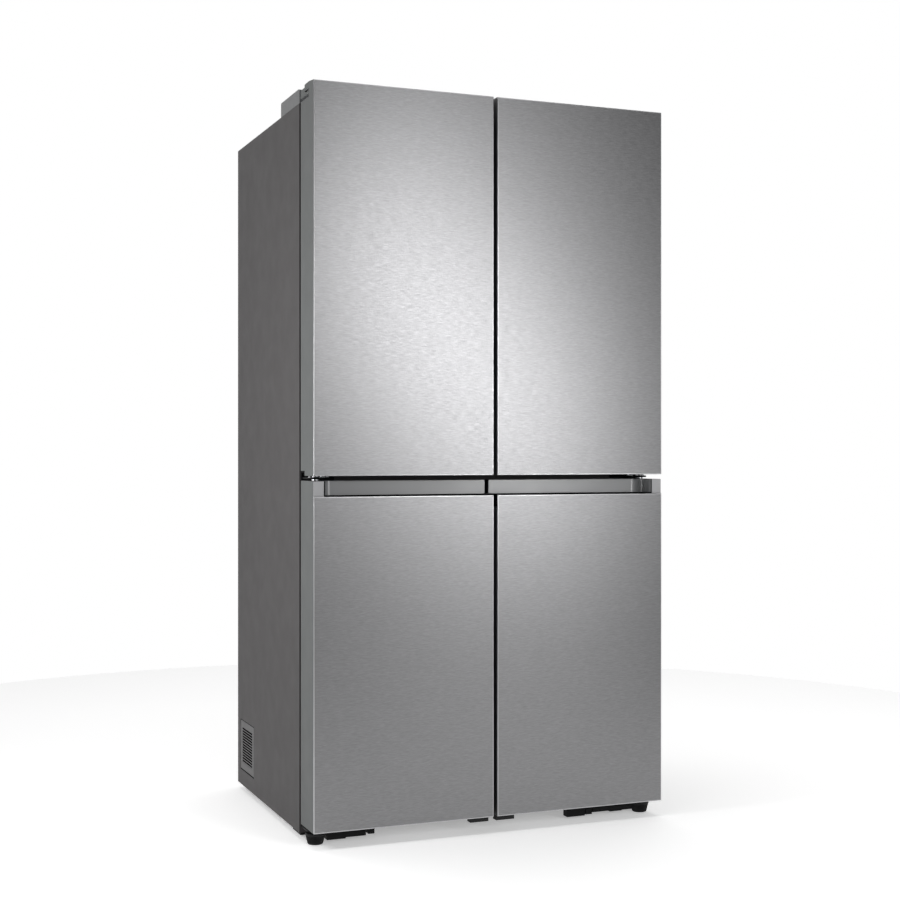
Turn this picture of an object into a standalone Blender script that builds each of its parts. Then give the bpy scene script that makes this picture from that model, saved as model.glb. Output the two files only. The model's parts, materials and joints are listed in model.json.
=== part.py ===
"""French door refrigerator: two fridge doors above, a freezer and a convertible zone below.

Metres, +Z up. The origin is the middle of the footprint on the floor, and -Y is the front.
"""
import math

import bmesh
import bpy
from mathutils import Matrix, Vector

# Overall sizes
WIDTH = 0.912
DEPTH = 0.723
HEIGHT = 1.780
HINGE_COVER_HEIGHT = 0.035
DOOR_TOP_DROP = 0.005

# Doors
DOOR_BOTTOM = 0.040
LOWER_DOOR_HEIGHT = 0.811
LEVEL_GAP = 0.012
CENTRE_GAP = 0.010
DOOR_DEPTH = 0.105
FRONT_THICK = 0.003
DYKE_DEPTH = 0.035
DYKE_WALL = 0.022
DYKE_RECESS = 0.028
GASKET_SPACE = 0.013
GASKET_WIDTH = 0.014
GASKET_INSET = 0.008
DOOR_SWING = math.radians(120)

# Raised cap over the top hinge, at each upper door's corner
CAP_LENGTH = 0.080
CAP_RISE = 0.004
CAP_STEP = 0.074
CAP_DROP = 0.003

# Recessed grip along the top of each lower door
GRIP_HEIGHT = 0.036
GRIP_DEPTH = 0.056
GRIP_FLOOR_DROP = 0.028
GRIP_END = 0.029
GRIP_LIP = 0.004
GRIP_WALL = 0.003
GRIP_CORNER = 0.028

# Stop under each lower door, beside the centre gap
STOP_NEAR = 0.010
STOP_FAR = 0.058
STOP_FRONT = 0.020
STOP_BACK = 0.040
STOP_DROP = 0.0145

# Cabinet
SHEET = 0.0015
WALL = 0.045
BACK_WALL = 0.055
LINER_EDGE = 0.035
LINER = 0.0025
CROSS_FACE = 0.034
POST_FACE = 0.020
LOWER_CAVITY_FLOOR = 0.095
SIDE_BOTTOM = 0.016
PAN_BOTTOM = 0.022
PAN_THICK = 0.004
MACHINE_DEPTH = 0.240
MACHINE_HEIGHT = 0.290
CASE_WALL = 0.050

# Hinges
HINGE_INSET = 0.025
HINGE_SETBACK = 0.070
PIN_RADIUS = 0.005
PLATE = 0.004
ARM_HALF = 0.013
MIDDLE_ARM_HALF = 0.018
PIN_REACH = 0.022
TOP_PLATE_LONG = 0.110
TOP_PLATE_WIDE = 0.045
COVER_LONG = 0.164
COVER_WIDE = 0.095
COVER_EDGE = 0.003

# Fits
SEAT = 0.0003
RUNNING = 0.0001
CLEAR = 0.003

# Furniture
SHELF_THICK = 0.006
SHELF_TRIM = 0.018
LEDGE = 0.012
LEDGE_HEIGHT = 0.008
TRAY_WALL = 0.003
DRAWER_SETBACK = 0.215
SHELF_SETBACK = 0.226
CRISPER_HEIGHT = 0.185
SHELF_COUNT = 3
DRAWER_HEIGHT = 0.200
BIN_DEPTH = 0.085
BIN_HEIGHT = 0.100
BIN_COUNT = 2
BIN_TOP_ROOM = 0.020
LIGHT_HALF = 0.160
LIGHT_DEPTH = 0.050
LIGHT_THICK = 0.008
LIGHT_SETBACK = 0.080
DUCT_HALF = 0.110
DUCT_DEPTH = 0.026
DUCT_ENDS = 0.030
DUCT_SLOTS = 8
DUCT_SLOT_HALF = 0.080
DUCT_SLOT_HEIGHT = 0.010

# Feet, rollers, machine compartment
FOOT_RADIUS = 0.024
FOOT_FLARE = 0.005
ROLLER_RADIUS = 0.020
ROLLER_WIDTH = 0.030
COMPRESSOR_RADIUS = 0.075
COMPRESSOR_HEIGHT = 0.190
FAN_RADIUS = 0.075
FAN_BLADES = 5
VENT_SLOTS = 13
VENT_PITCH = 0.0083

# Derived planes and lines
HALF = WIDTH / 2
FRONT = -DEPTH / 2
BACK = DEPTH / 2
CABINET_TOP = HEIGHT - HINGE_COVER_HEIGHT
DOOR_TOP = HEIGHT - DOOR_TOP_DROP
LOWER_TOP = DOOR_BOTTOM + LOWER_DOOR_HEIGHT
UPPER_BOTTOM = LOWER_TOP + LEVEL_GAP
DOOR_REAR = FRONT + DOOR_DEPTH
CABINET_FRONT = DOOR_REAR + GASKET_SPACE
LIP = WALL - LINER_EDGE
CROSS_WALL = 2 * (CROSS_FACE + LIP)
POST_WALL = 2 * (POST_FACE + LIP)
GAP_MIDDLE = LOWER_TOP + LEVEL_GAP / 2
CROSS_BOTTOM = GAP_MIDDLE - CROSS_WALL / 2
CROSS_TOP = GAP_MIDDLE + CROSS_WALL / 2
CAVITY_TOP = CABINET_TOP - WALL
CAVITY_SIDE = HALF - WALL
CAVITY_BACK = BACK - BACK_WALL
MACHINE_FRONT = BACK - MACHINE_DEPTH
STEP_HEIGHT = MACHINE_HEIGHT + CASE_WALL
STEP_BACK = MACHINE_FRONT - CASE_WALL
HINGE_X = HALF - HINGE_INSET
HINGE_Y = FRONT + HINGE_SETBACK
INNER = HALF - SHEET - SEAT
FLAP_FRONT = CABINET_FRONT + 0.0005
FLAP_THICK = 0.0195
FLAP_EDGE = 0.0015
FLAP_WIDTH = 0.040
FLAP_AXIS_X = -(FLAP_EDGE + FLAP_WIDTH - 0.0035)
FLAP_AXIS_Y = FLAP_FRONT + FLAP_THICK / 2
VENT_FRONT = BACK - 0.175
VENT_BACK = BACK - 0.030
VENT_BOTTOM = 0.057
VENT_TOP = 0.193
VENT_THICK = 0.004
INLET_X = 0.405
INLET_Z = 0.2375
INLET_HALF_X = 0.020
INLET_HALF_Z = 0.0175
INLET_DEPTH = 0.030
INLET_WALL = 0.006
ROLLER_X = HALF - 0.070
ROLLER_Y = BACK - 0.060
AXLE_RADIUS = 0.004
AXLE_ENDS = 0.014
FAN_X = 0.020
FAN_Y = BACK - 0.120
FAN_Z = 0.145
FAN_SHAFT = 0.004
POST_NEAR = 0.022
POST_THICK = 0.008
POST_HALF = 0.020
INSIDE_X = CAVITY_SIDE - SEAT - LINER
FRIDGE_FLOOR = CROSS_TOP + SEAT + LINER
SHELF_FRONT = FRONT + SHELF_SETBACK
DRAWER_FRONT = FRONT + DRAWER_SETBACK
CRISPER_SHELF = FRIDGE_FLOOR + CRISPER_HEIGHT + 0.012
SHELF_PITCH = (CAVITY_TOP - CRISPER_SHELF) / SHELF_COUNT
FRIDGE_SHELVES = tuple(CRISPER_SHELF + SHELF_PITCH * step for step in range(SHELF_COUNT))
LOWER_FLOOR = LOWER_CAVITY_FLOOR + SEAT + LINER
LOWER_SHELF = STEP_HEIGHT + SEAT + LINER + 0.050
FLAP_LOW = CROSS_TOP + SEAT + LINER + 0.024
FLAP_HIGH = CAVITY_TOP - SEAT - LINER - 0.024
FLAP_PIN = 0.003
# Blocks under each hinge bracket: start and end, measured inwards from the hinge line, and the lower face
BLOCKS = {
    "left": ((0.0260, 0.0720, 0.0075), (0.0715, 0.1220, 0.0100), (0.1280, 0.1435, 0.0125)),
    "right": ((0.0260, 0.0560, 0.0100), (0.0555, 0.0900, 0.0085), (0.0895, 0.1385, 0.0110),
              (0.1400, 0.1580, 0.0070), (0.1600, 0.2100, 0.0050)),
}
BLOCK_FRONT = 0.060
BLOCK_DEPTH = 0.022
BRACKET_RISE = 0.008
FOOT_HEIGHT = PAN_BOTTOM + BRACKET_RISE - SEAT
SIDES = (("left", -1), ("right", 1))


def clear_scene():
    for item in list(bpy.data.objects):
        bpy.data.objects.remove(item, do_unlink=True)


def new_collection(name):
    group = bpy.data.collections.new(name)
    bpy.context.scene.collection.children.link(group)
    return group


clear_scene()
PARTS = new_collection("french_door_refrigerator")
CUTTERS = new_collection("cutters")


def material(name, colour, roughness, metallic=0.0):
    made = bpy.data.materials.new(name)
    made.use_nodes = True
    shader = made.node_tree.nodes["Principled BSDF"]
    shader.inputs["Base Color"].default_value = (*colour, 1.0)
    shader.inputs["Roughness"].default_value = roughness
    shader.inputs["Metallic"].default_value = metallic
    return made


STAINLESS = material("brushed_stainless", (0.55, 0.55, 0.56), 0.30, 1.0)
SIDE_GREY = material("side_grey", (0.11, 0.11, 0.11), 0.45)
DOOR_GREY = material("door_grey", (0.19, 0.20, 0.20), 0.45)
GRIP_GREY = material("grip_grey", (0.21, 0.21, 0.22), 0.40)
COVER_GREY = material("cover_grey", (0.20, 0.20, 0.21), 0.50)
BLACK = material("black_plastic", (0.02, 0.02, 0.02), 0.55)
SEAL = material("seal_rubber", (0.02, 0.02, 0.022), 0.70)
WHITE = material("liner_white", (0.85, 0.86, 0.87), 0.30)
GLASS = material("shelf_glass", (0.80, 0.88, 0.87), 0.05)
CLEAR_PLASTIC = material("clear_plastic", (0.75, 0.80, 0.82), 0.15)
FOAM = material("foam", (0.85, 0.78, 0.60), 0.90)
ZINC = material("zinc_steel", (0.45, 0.45, 0.47), 0.40, 1.0)
BLACK_STEEL = material("black_steel", (0.03, 0.03, 0.03), 0.40)


def add_object(name, mesh, look):
    """Put a mesh among the parts, or among the cutters when it has no look."""
    made = bpy.data.objects.new(name, mesh)
    if look is None:
        CUTTERS.objects.link(made)
        made.display_type = "WIRE"
        made.hide_render = True
    else:
        PARTS.objects.link(made)
        mesh.materials.append(look)
    return made


def span(a, b):
    return (min(a, b), max(a, b))


def box(name, xs, ys, zs, look=None):
    """A box between the given limits, with its origin in its middle."""
    lows = Vector((min(xs), min(ys), min(zs)))
    highs = Vector((max(xs), max(ys), max(zs)))
    shape = bmesh.new()
    bmesh.ops.create_cube(shape, size=1.0)
    bmesh.ops.scale(shape, vec=highs - lows, verts=shape.verts)
    mesh = bpy.data.meshes.new(name)
    shape.to_mesh(mesh)
    shape.free()
    made = add_object(name, mesh, look)
    made.location = (lows + highs) / 2
    return made


def cylinder(name, radius, length, centre, axis="Z", look=None, sides=24, top_radius=None):
    """A cylinder or cone along one axis, with its origin in its middle."""
    shape = bmesh.new()
    bmesh.ops.create_cone(shape, cap_ends=True, segments=sides, radius1=radius,
                          radius2=radius if top_radius is None else top_radius, depth=length)
    mesh = bpy.data.meshes.new(name)
    shape.to_mesh(mesh)
    shape.free()
    if axis != "Z":
        mesh.transform(Matrix.Rotation(math.pi / 2, 4, "Y" if axis == "X" else "X"))
    made = add_object(name, mesh, look)
    made.location = centre
    return made


# Columns: where the outline's own x, its own y and its thickness point in the part's frame.
PLANES = {
    "XY": Matrix(((1, 0, 0), (0, 1, 0), (0, 0, 1))),
    "YZ": Matrix(((0, 0, 1), (1, 0, 0), (0, 1, 0))),
    "XZ": Matrix(((1, 0, 0), (0, 0, -1), (0, 1, 0))),
}


THICKNESS_AXES = {"XY": Vector((0, 0, 1)), "YZ": Vector((1, 0, 0)), "XZ": Vector((0, 1, 0))}


def prism(name, outline, plane, limits, look=None):
    """A flat outline, drawn in one plane and given its thickness between two limits."""
    low, high = min(limits), max(limits)
    curve = bpy.data.curves.new(name, "CURVE")
    curve.dimensions = "2D"
    curve.fill_mode = "BOTH"
    curve.extrude = (high - low) / 2
    line = curve.splines.new("POLY")
    line.points.add(len(outline) - 1)
    for point, (a, b) in zip(line.points, outline):
        point.co = (a, b, 0, 1)
    line.use_cyclic_u = True
    drawn = bpy.data.objects.new(name, curve)
    CUTTERS.objects.link(drawn)
    turn = PLANES[plane]
    seen = drawn.evaluated_get(bpy.context.evaluated_depsgraph_get())
    mesh = bpy.data.meshes.new_from_object(seen)
    bpy.data.objects.remove(drawn, do_unlink=True)
    shape = bmesh.new()
    shape.from_mesh(mesh)
    bmesh.ops.remove_doubles(shape, verts=shape.verts, dist=1e-6)
    bmesh.ops.recalc_face_normals(shape, faces=shape.faces)
    shape.to_mesh(mesh)
    shape.free()
    mesh.materials.clear()
    made = add_object(name, mesh, look)
    middle = THICKNESS_AXES[plane] * (low + high) / 2
    made.matrix_world = Matrix.Translation(middle) @ turn.to_4x4()
    return made


def arc(centre, radius, start, end, steps):
    """Points along an arc, angles in degrees."""
    angles = [math.radians(start + (end - start) * i / steps) for i in range(steps + 1)]
    return [(centre[0] + radius * math.cos(a), centre[1] + radius * math.sin(a)) for a in angles]


def combine(target, tools, operation):
    for tool in tools:
        change = target.modifiers.new(operation.lower(), "BOOLEAN")
        change.operation = operation
        change.object = tool
        change.solver = "EXACT"
    return target


def cut(target, *tools):
    return combine(target, tools, "DIFFERENCE")


def join(target, *tools):
    return combine(target, tools, "UNION")


def round_edges(target, width, segments=2, angle=60):
    bevel = target.modifiers.new("round", "BEVEL")
    bevel.width = width
    bevel.segments = segments
    bevel.limit_method = "ANGLE"
    bevel.angle_limit = math.radians(angle)
    return target


def pivot(name, place, pieces):
    """Hang pieces on an empty that stands on their joint's axis."""
    empty = bpy.data.objects.new(name, None)
    empty.empty_display_size = 0.05
    empty.location = place
    PARTS.objects.link(empty)
    bpy.context.view_layer.update()
    for piece in pieces:
        piece.parent = empty
        piece.matrix_parent_inverse = empty.matrix_world.inverted()
    return empty


def tray(name, xs, ys, zs, look, front_drop=0.0):
    """An open-topped tray; its front may stop short of its sides."""
    body = box(name, xs, ys, zs, look)
    hollow = box(name + "_hollow", (min(xs) + TRAY_WALL, max(xs) - TRAY_WALL),
                 (min(ys) + TRAY_WALL, max(ys) - TRAY_WALL), (min(zs) + TRAY_WALL, max(zs) + CLEAR))
    cut(body, hollow)
    if front_drop:
        cut(body, box(name + "_front", (min(xs) + TRAY_WALL, max(xs) - TRAY_WALL),
                      (min(ys) - CLEAR, min(ys) + 2 * TRAY_WALL), (max(zs) - front_drop, max(zs) + CLEAR)))
    return body


# Cabinet shell

def side_panel(side, sign):
    """One folded sheet: the side and its narrow front flange."""
    edge, inside = sign * HALF, sign * (HALF - SHEET)
    flange = sign * (HALF - WALL + LIP + SEAT)
    outline = [(edge, CABINET_FRONT), (edge, BACK), (inside, BACK), (inside, CABINET_FRONT + SHEET),
               (flange, CABINET_FRONT + SHEET), (flange, CABINET_FRONT)]
    return prism("side_panel_" + side, outline, "XY", (SIDE_BOTTOM, CABINET_TOP), SIDE_GREY)


def side_vent(panel):
    """A slotted grille let into the left side sheet, beside the machine compartment."""
    wall = (-HALF - CLEAR, -HALF + 2 * CLEAR)
    hole = box("vent_hole", wall, (VENT_FRONT, VENT_BACK), (VENT_BOTTOM, VENT_TOP))
    cut(panel, hole)
    grille = box("side_vent", (-HALF + SEAT, -HALF + SEAT + VENT_THICK),
                 (VENT_FRONT + SEAT, VENT_BACK - SEAT), (VENT_BOTTOM + SEAT, VENT_TOP - SEAT), SIDE_GREY)
    margin = (VENT_TOP - VENT_BOTTOM - VENT_PITCH * VENT_SLOTS) / 2
    for index in range(VENT_SLOTS):
        low = VENT_BOTTOM + margin + VENT_PITCH * index
        cut(grille, box("vent_slot_%d" % index, (-HALF - CLEAR, -HALF + 3 * CLEAR),
                        (VENT_FRONT + 0.022, VENT_BACK - 0.022), (low, low + VENT_PITCH / 2)))
    return grille


def top_panel():
    flange = CABINET_TOP - WALL + LIP + SEAT
    fold, under = CABINET_FRONT + SHEET, CABINET_TOP - SHEET
    outline = [(CABINET_FRONT, flange), (fold, flange), (fold, under), (BACK, under), (BACK, CABINET_TOP),
               (CABINET_FRONT, CABINET_TOP)]
    panel = prism("top_panel", outline, "YZ", (-INNER, INNER), SIDE_GREY)
    for side, sign in SIDES:
        cut(panel, box("top_corner_" + side, (sign * (HALF - WALL + LIP), sign * HALF),
                       (CABINET_FRONT - CLEAR, CABINET_FRONT + SHEET + SEAT), (0, CABINET_TOP + CLEAR)))
    return panel


def back_panel():
    return box("back_panel", (-INNER, INNER), (BACK - SHEET, BACK),
               (MACHINE_HEIGHT + SEAT, CABINET_TOP - SHEET - SEAT), SIDE_GREY)


def machine_cover():
    """The rear cover of the machine compartment, with its rows of slots."""
    zs = (PAN_BOTTOM + PAN_THICK + SEAT, MACHINE_HEIGHT)
    cover = box("machine_cover", (-INNER, INNER), (BACK - SHEET, BACK), zs,
                SIDE_GREY)
    for column in (-0.28, 0.28):
        for row in range(8):
            low = 0.080 + 0.020 * row
            cut(cover, box("cover_slot", (column - 0.08, column + 0.08), (BACK - 2 * CLEAR, BACK + CLEAR),
                           (low, low + 0.008)))
    return cover


def base_pan():
    """The folded steel floor of the cabinet, with the rear roller ears and the fan motor's post."""
    low, high = PAN_BOTTOM, PAN_BOTTOM + PAN_THICK
    rail_top = LOWER_CAVITY_FLOOR - LIP - SEAT
    outline = [(CABINET_FRONT, low), (BACK, low), (BACK, high), (CABINET_FRONT + PAN_THICK, high),
               (CABINET_FRONT + PAN_THICK, rail_top), (CABINET_FRONT, rail_top)]
    pan = prism("base_pan", outline, "YZ", (-INNER, INNER), BLACK_STEEL)
    for side, sign in SIDES:
        cut(pan, box("rail_corner_" + side, (sign * (HALF - WALL + LIP), sign * HALF),
                     (CABINET_FRONT - CLEAR, CABINET_FRONT + SHEET + SEAT), (0, rail_top + CLEAR)))
        inner = ROLLER_WIDTH / 2 + 0.001
        for face in (-1, 1):
            middle = sign * ROLLER_X + face * (inner + PAN_THICK / 2)
            ear = box("roller_ear", (middle - PAN_THICK / 2, middle + PAN_THICK / 2),
                      (ROLLER_Y - 0.012, ROLLER_Y + 0.012), (ROLLER_RADIUS - 0.010, low + 0.001))
            join(pan, ear)
        cut(pan, box("roller_well_" + side, (sign * ROLLER_X - inner, sign * ROLLER_X + inner),
                     (ROLLER_Y - ROLLER_RADIUS - CLEAR, ROLLER_Y + ROLLER_RADIUS + CLEAR), (0, high + CLEAR)))
        axle = (sign * ROLLER_X, ROLLER_Y, ROLLER_RADIUS)
        cut(pan, cylinder("axle_hole_" + side, AXLE_RADIUS + RUNNING, 2 * ROLLER_WIDTH, axle, "X"))
        join(pan, box("front_housing_" + side, (sign * (HALF - 0.012), sign * (HALF - 0.056)),
                      (FRONT + 0.150, FRONT + 0.215), (0.002, low + 0.001)))
    near = FAN_X + POST_NEAR
    post = box("fan_post", (near, near + POST_THICK), (FAN_Y - POST_HALF, FAN_Y + POST_HALF),
               (low + 0.001, FAN_Z + POST_HALF))
    join(pan, post)
    bore = (near + POST_THICK / 2, FAN_Y, FAN_Z)
    return cut(pan, cylinder("fan_bore", FAN_SHAFT + RUNNING, 3 * POST_THICK, bore, "X"))


def foam():
    """The foamed walls that stiffen the cabinet, around the three cavities."""
    low = PAN_BOTTOM + PAN_THICK + SEAT
    front, back, top = CABINET_FRONT + PAN_THICK + SEAT, BACK - SHEET - SEAT, CABINET_TOP - SHEET - SEAT
    outline = [(front, low), (MACHINE_FRONT, low), (MACHINE_FRONT, MACHINE_HEIGHT), (back, MACHINE_HEIGHT),
               (back, top), (front, top)]
    body = prism("cabinet_foam", outline, "YZ", (-INNER, INNER), FOAM)
    reach = CABINET_FRONT - CLEAR
    cut(body, box("fridge_space", (-CAVITY_SIDE, CAVITY_SIDE), (reach, CAVITY_BACK), (CROSS_TOP, CAVITY_TOP)))
    for side, sign in SIDES:
        across = (sign * POST_WALL / 2, sign * CAVITY_SIDE)
        cut(body, prism(side + "_lower_space", stepped(reach, 0.0), "YZ", across))
    return body


def stepped(front, inset):
    """The lower cavities' outline: shallow below, where the machine compartment stands behind."""
    low, high = LOWER_CAVITY_FLOOR + inset, CROSS_BOTTOM - inset
    return [(front, low), (STEP_BACK - inset, low), (STEP_BACK - inset, STEP_HEIGHT + inset),
            (CAVITY_BACK - inset, STEP_HEIGHT + inset), (CAVITY_BACK - inset, high), (front, high)]


def ledges(name, xs, heights, back):
    """Pairs of ledges on the side walls, under the shelves."""
    made = []
    for height in heights:
        for wall, sign in ((min(xs), 1), (max(xs), -1)):
            made.append(box(name + "_ledge", (wall - sign * 0.001, wall + sign * LEDGE), (SHELF_FRONT, back),
                            (height - LEDGE_HEIGHT, height)))
    return made


def liner(name, xs, outer, hollow, lip_zs, heights, back):
    """A thin moulded liner: its shell, its front lip and its shelf ledges."""
    low_x, high_x = min(xs) + SEAT, max(xs) - SEAT
    shell = prism(name, outer, "YZ", (low_x, high_x), WHITE)
    join(shell, box(name + "_lip", (low_x - LIP, high_x + LIP), (CABINET_FRONT, CABINET_FRONT + SHEET),
                    (lip_zs[0] + SEAT, lip_zs[1] - SEAT)))
    cut(shell, prism(name + "_inside", hollow, "YZ", (low_x + LINER, high_x - LINER)))
    return join(shell, *ledges(name, (low_x + LINER, high_x - LINER), heights, back))


def fridge_liner():
    front, t = CABINET_FRONT, LINER + SEAT
    low, high = CROSS_TOP + SEAT, CAVITY_TOP - SEAT
    outer = [(front, low), (CAVITY_BACK - SEAT, low), (CAVITY_BACK - SEAT, high), (front, high)]
    inside = [(front - CLEAR, low + LINER), (CAVITY_BACK - t, low + LINER), (CAVITY_BACK - t, high - LINER),
              (front - CLEAR, high - LINER)]
    return liner("fridge_liner", (-CAVITY_SIDE, CAVITY_SIDE), outer, inside,
                 (CROSS_TOP - LIP, CAVITY_TOP + LIP), FRIDGE_SHELVES, CAVITY_BACK - 0.030)


def lower_liner(name, sign):
    across = span(sign * POST_WALL / 2, sign * CAVITY_SIDE)
    return liner(name, across, stepped(CABINET_FRONT, SEAT), stepped(CABINET_FRONT - CLEAR, SEAT + LINER),
                 (LOWER_CAVITY_FLOOR - LIP, CROSS_BOTTOM + LIP), (LOWER_SHELF,), STEP_BACK - 0.010)


def mullion():
    """The steel covers between the compartments: one across, one upright between the lower two."""
    half = CAVITY_SIDE + LIP - SEAT
    low, high = GAP_MIDDLE - CROSS_FACE, GAP_MIDDLE + CROSS_FACE
    thick = (CABINET_FRONT, CABINET_FRONT + SHEET)
    box("cross_mullion", (-half, half), thick, (low, high), SIDE_GREY)
    box("post_mullion", (-POST_FACE, POST_FACE), thick, (LOWER_CAVITY_FLOOR - LIP + SEAT, low - SEAT), SIDE_GREY)


# Furniture


def shelf(name, xs, height, back):
    """A glass shelf with a thicker front trim; it rests on its ledges."""
    low = height + SEAT
    trim_low, trim_back = low - SHELF_TRIM + SHELF_THICK, SHELF_FRONT + 0.008
    outline = [(SHELF_FRONT, trim_low), (trim_back, trim_low), (trim_back, low), (back, low),
               (back, low + SHELF_THICK), (SHELF_FRONT, low + SHELF_THICK)]
    plate = prism(name, outline, "YZ", (min(xs) + 0.0005, max(xs) - 0.0005), GLASS)
    for side, wall, sign in (("a", min(xs), 1), ("b", max(xs), -1)):
        cut(plate, box(name + "_trim_end_" + side, (wall, wall + sign * (LEDGE + 0.001)),
                       (SHELF_FRONT - CLEAR, SHELF_FRONT + 0.010), (low - SHELF_TRIM, low - SEAT / 10)))
    return plate


def shelves():
    names = ("crisper_shelf", "middle_shelf", "top_shelf")
    for name, height in zip(names, FRIDGE_SHELVES):
        shelf(name, (-INSIDE_X, INSIDE_X), height, CAVITY_BACK - 0.030)
    for name, sign in (("freezer_shelf", -1), ("flex_shelf", 1)):
        across = span(sign * (POST_WALL / 2 + SEAT + LINER), sign * INSIDE_X)
        shelf(name, across, LOWER_SHELF, STEP_BACK - 0.010)


def drawer(name, xs, floor, height, back):
    """A drawer with a finger lip along its front."""
    low = floor + SEAT
    body = tray(name, xs, (DRAWER_FRONT, back), (low, low + height), CLEAR_PLASTIC)
    return join(body, box(name + "_grip", (min(xs) + 0.040, max(xs) - 0.040),
                          (DRAWER_FRONT, DRAWER_FRONT + 0.014), (low + height - 0.004, low + height + 0.006)))


def drawers():
    """Two crispers, two freezer drawers and two drawers of the convertible zone."""
    made = []
    for side, sign in SIDES:
        across = span(sign * 0.004, sign * (INSIDE_X - LEDGE / 4))
        back = CAVITY_BACK - 0.110
        made.append(drawer("crisper_" + side, across, FRIDGE_FLOOR, CRISPER_HEIGHT - 0.010, back))
    for zone, sign in (("freezer", -1), ("flex", 1)):
        across = span(sign * (POST_WALL / 2 + SEAT + LINER + CLEAR), sign * (INSIDE_X - CLEAR))
        made.append(drawer(zone + "_drawer_lower", across, LOWER_FLOOR, DRAWER_HEIGHT, STEP_BACK - 0.015))
        made.append(drawer(zone + "_drawer_upper", across, LOWER_SHELF + SEAT + SHELF_THICK, DRAWER_HEIGHT,
                           STEP_BACK - 0.015))
    for piece in made:
        pivot(piece.name + "_slide", piece.location.copy(), [piece])


def duct_cover():
    """The slotted cover of the cold air duct, at the back of the fridge."""
    low, high = FRIDGE_SHELVES[0] + DUCT_ENDS, CAVITY_TOP - DUCT_ENDS
    front = CAVITY_BACK - DUCT_DEPTH
    ys = (front, CAVITY_BACK - LINER - 2 * SEAT)
    cover = box("duct_cover", (-DUCT_HALF, DUCT_HALF), ys, (low, high), WHITE)
    pitch = (high - low) / (DUCT_SLOTS + 1)
    for row in range(DUCT_SLOTS):
        slot = low + pitch * (row + 1)
        slot_ys = (front - CLEAR, front + DUCT_DEPTH / 3)
        cut(cover, box("duct_slot", (-DUCT_SLOT_HALF, DUCT_SLOT_HALF), slot_ys, (slot, slot + DUCT_SLOT_HEIGHT)))
    return cover


def fridge_light():
    high = CAVITY_TOP - LINER - 2 * SEAT
    front = CABINET_FRONT + LIGHT_SETBACK
    light = box("fridge_light", (-LIGHT_HALF, LIGHT_HALF), (front, front + LIGHT_DEPTH), (high - LIGHT_THICK, high),
                WHITE)
    return round_edges(light, 0.002, 1)


# Doors

def door_spans(side_sign, level):
    """Limits of one door: from its hinge side to the centre gap, and from its bottom to its top."""
    xs = span(side_sign * CENTRE_GAP / 2, side_sign * HALF)
    zs = (UPPER_BOTTOM, DOOR_TOP) if level == "upper" else (DOOR_BOTTOM, LOWER_TOP)
    return xs, zs


def cavity_zs(level):
    if level == "upper":
        return CROSS_TOP + SEAT + LINER, CAVITY_TOP - SEAT - LINER
    return LOWER_CAVITY_FLOOR + SEAT + LINER, CROSS_BOTTOM - SEAT - LINER


def dyke_spans(sign, level):
    """The raised rim of a door's inner side, which enters the cavity."""
    centre = -FLAP_AXIS_X + 0.017 if level == "upper" else POST_WALL / 2 + 0.018
    low, high = cavity_zs(level)
    return span(sign * centre, sign * (CAVITY_SIDE - LINER - 0.0085)), (low + 0.006, high - 0.006)


def front_panel(name, xs, zs):
    """The brushed steel front, with softly rounded edges."""
    panel = box(name, xs, (FRONT, FRONT + FRONT_THICK), zs, STAINLESS)
    return round_edges(panel, FRONT_THICK / 3, 2)


def hinge_notch(sign):
    """The slot in a door's top rear corner that the arm of the top hinge sweeps."""
    reach = ARM_HALF + CLEAR
    inner, outer = -reach, HINGE_INSET + CLEAR
    slope = math.tan(DOOR_SWING - math.pi / 2)
    points = [(inner, -reach), (0.0, -reach), (outer, -reach - slope * outer), (outer, DOOR_DEPTH),
              (inner, DOOR_DEPTH)]
    outline = [(sign * (HINGE_X + x), HINGE_Y + y) for x, y in points]
    return prism("hinge_notch", outline, "XY", (CABINET_TOP - 0.001, CABINET_TOP + PLATE + 0.003))


def door_cap(body, sign):
    """The raised end of an upper door's top cap, with its step at the back and the wedge hole in its side."""
    edge, inner = sign * HALF, sign * (HALF - CAP_LENGTH)
    front = FRONT + FRONT_THICK + SEAT
    back, crest = FRONT + CAP_STEP, DOOR_TOP + CAP_RISE
    rise = [(front, DOOR_TOP - CLEAR), (back, DOOR_TOP - CLEAR), (back, crest - 0.001), (back - 0.010, crest),
            (FRONT + CAP_STEP / 2, crest), (front, DOOR_TOP)]
    join(body, prism("cap_rise", rise, "YZ", span(edge, inner)))
    cut(body, box("cap_step", span(edge + sign * CLEAR, inner), (FRONT + CAP_STEP, DOOR_REAR + CLEAR),
                  (DOOR_TOP - CAP_DROP, DOOR_TOP + 2 * CAP_RISE)))
    slot_top = CABINET_TOP + PLATE + 0.003
    wedge = [(FRONT + 0.040, slot_top + 0.006), (FRONT + 0.064, slot_top + 0.006), (back, slot_top + 0.012),
             (FRONT + 0.040, slot_top + 0.012)]
    cut(body, prism("cap_hole", wedge, "YZ", span(edge + sign * CLEAR, edge - sign * 0.008)))


def pin_bore(sign, zs):
    low, high = min(zs), max(zs)
    return cylinder("pin_bore", PIN_RADIUS + RUNNING, high - low, (sign * HINGE_X, HINGE_Y, (low + high) / 2))


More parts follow.
